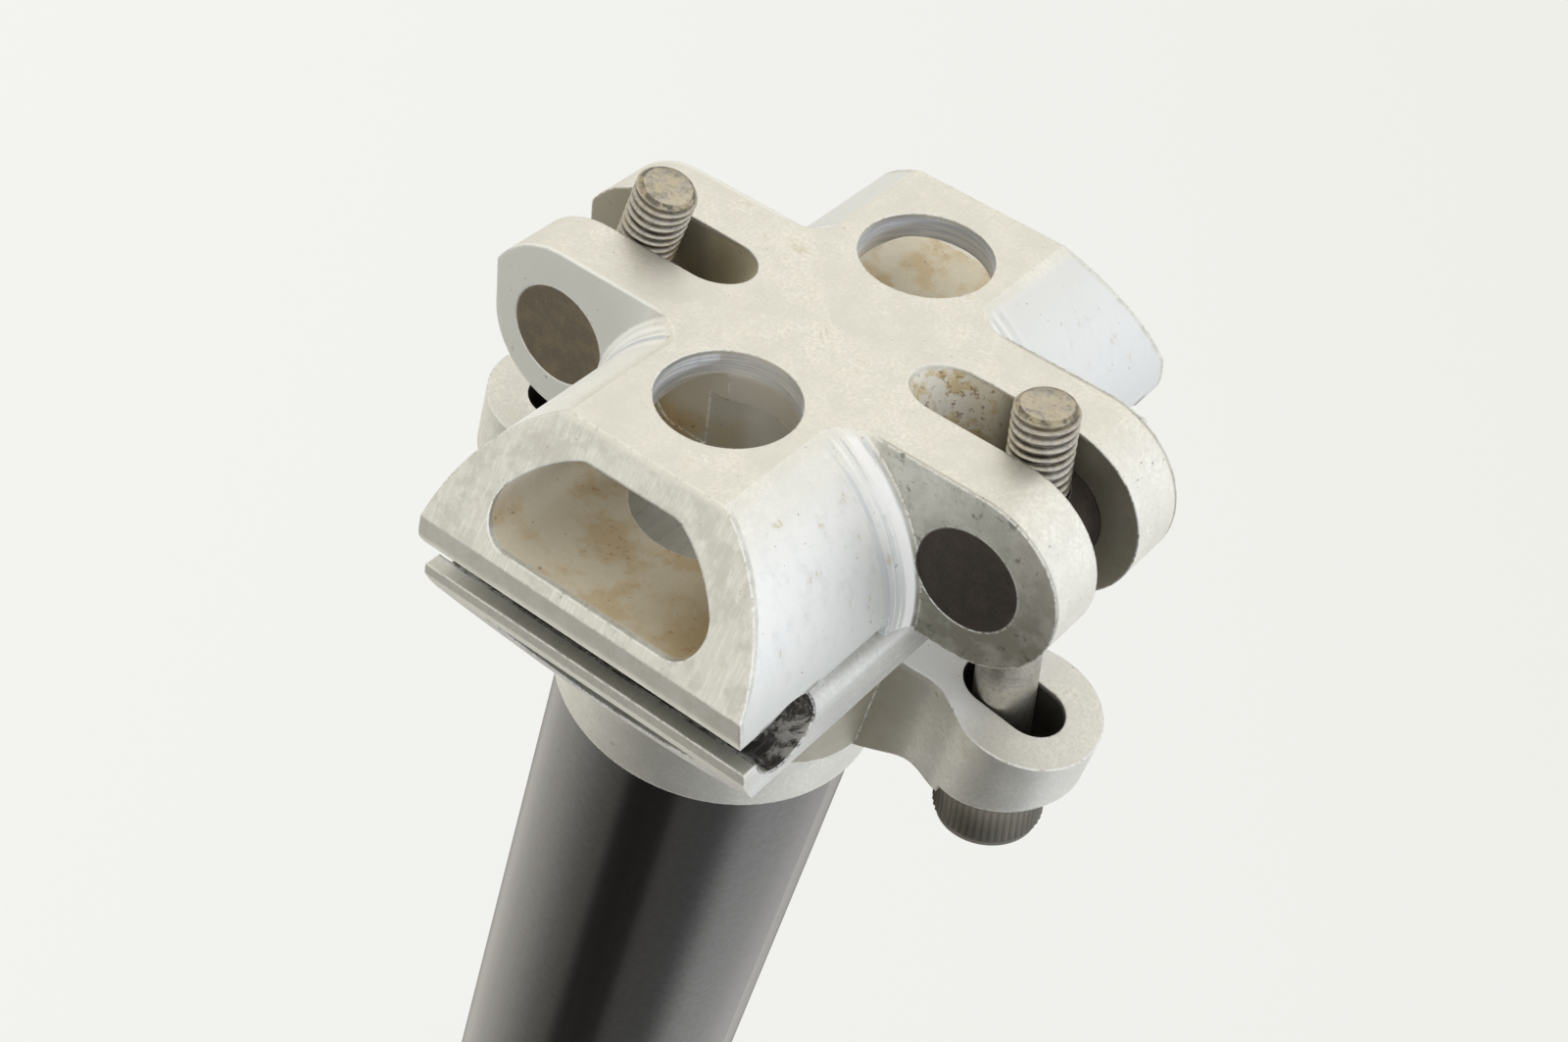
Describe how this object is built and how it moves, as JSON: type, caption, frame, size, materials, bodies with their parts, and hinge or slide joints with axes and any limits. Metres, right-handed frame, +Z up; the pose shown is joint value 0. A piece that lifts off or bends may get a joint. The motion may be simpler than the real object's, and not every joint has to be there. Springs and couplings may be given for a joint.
{
  "type": "bicycle seatpost",
  "caption": "Two-bolt bicycle seatpost: black round tube, silver head and a rocking saddle-rail clamp with barrel nuts, worn from use.",
  "frame": {"origin": "centre of the tube's lower end", "axes": "+Z up the tube's axis, +X to the rear of the bicycle along the line of the two bolts, +Y to the rider's right"},
  "size_m": [0.0607, 0.0558, 0.3716],
  "materials": {
    "black_anodised": "glossy black anodising",
    "head_aluminium": "satin, stained",
    "cradle_aluminium": "satin, dirty in the grooves",
    "clamp_aluminium": "satin, worn and stained",
    "nut_steel": "dark, dirty",
    "washer_steel": "dull",
    "bolt_steel": "worn, dirty ends"
  },
  "bodies": {
    "post": {"post_tube": "black_anodised", "head": "head_aluminium"},
    "clamp": {"lower_cradle": "cradle_aluminium", "upper_clamp": "clamp_aluminium"},
    "front_nut": {"barrel_nut_front": "nut_steel"},
    "rear_nut": {"barrel_nut_rear": "nut_steel"},
    "front_washer": {"washer_front": "washer_steel"},
    "rear_washer": {"washer_rear": "washer_steel"},
    "front_bolt": {"bolt_front": "bolt_steel"},
    "rear_bolt": {"bolt_rear": "bolt_steel"}
  },
  "joints": [
    {"name": "saddle_tilt", "type": "hinge", "parent": "post", "child": "clamp", "pos_m": [0, 0, 0.365], "axis": [0, 1, 0], "range_deg": [-8.5, 5]},
    {"name": "front_nut_turn", "type": "hinge", "parent": "clamp", "child": "front_nut", "pos_m": [-0.0181, 0, 0.35455], "axis": [0, 1, 0], "range_deg": [-5, 8.5]},
    {"name": "front_washer_travel", "type": "slide", "parent": "front_nut", "child": "front_washer", "axis": [-0.1201, 0, -0.9928], "range_m": [-0.0025, 0.00148]},
    {"name": "front_bolt_turn", "type": "hinge", "parent": "front_washer", "child": "front_bolt", "pos_m": [-0.0181, 0, 0.35455], "axis": [-0.1201, 0, -0.9928], "range_deg": [-1122, 662]},
    {"name": "rear_nut_turn", "type": "hinge", "parent": "clamp", "child": "rear_nut", "pos_m": [0.02037, 0, 0.3603], "axis": [0, 1, 0], "range_deg": [-5, 8.5]},
    {"name": "rear_washer_travel", "type": "slide", "parent": "rear_nut", "child": "rear_washer", "axis": [0.2181, 0, -0.9759], "range_m": [-0.00167, 0.00282]},
    {"name": "rear_bolt_turn", "type": "hinge", "parent": "rear_washer", "child": "rear_bolt", "pos_m": [0.02037, 0, 0.3603], "axis": [0.2181, 0, -0.9759], "range_deg": [-746, 1264]}
  ],
  "couplings": [
    {"joint": "front_nut_turn", "follows": "saddle_tilt", "ratio": -1},
    {"joint": "front_washer_travel", "follows": "saddle_tilt", "m_per_rad": 0.016717},
    {"joint": "front_bolt_turn", "follows": "saddle_tilt", "ratio": 131.3},
    {"joint": "rear_nut_turn", "follows": "saddle_tilt", "ratio": -1},
    {"joint": "rear_washer_travel", "follows": "saddle_tilt", "m_per_rad": -0.018853},
    {"joint": "rear_bolt_turn", "follows": "saddle_tilt", "ratio": -148.07}
  ]
}
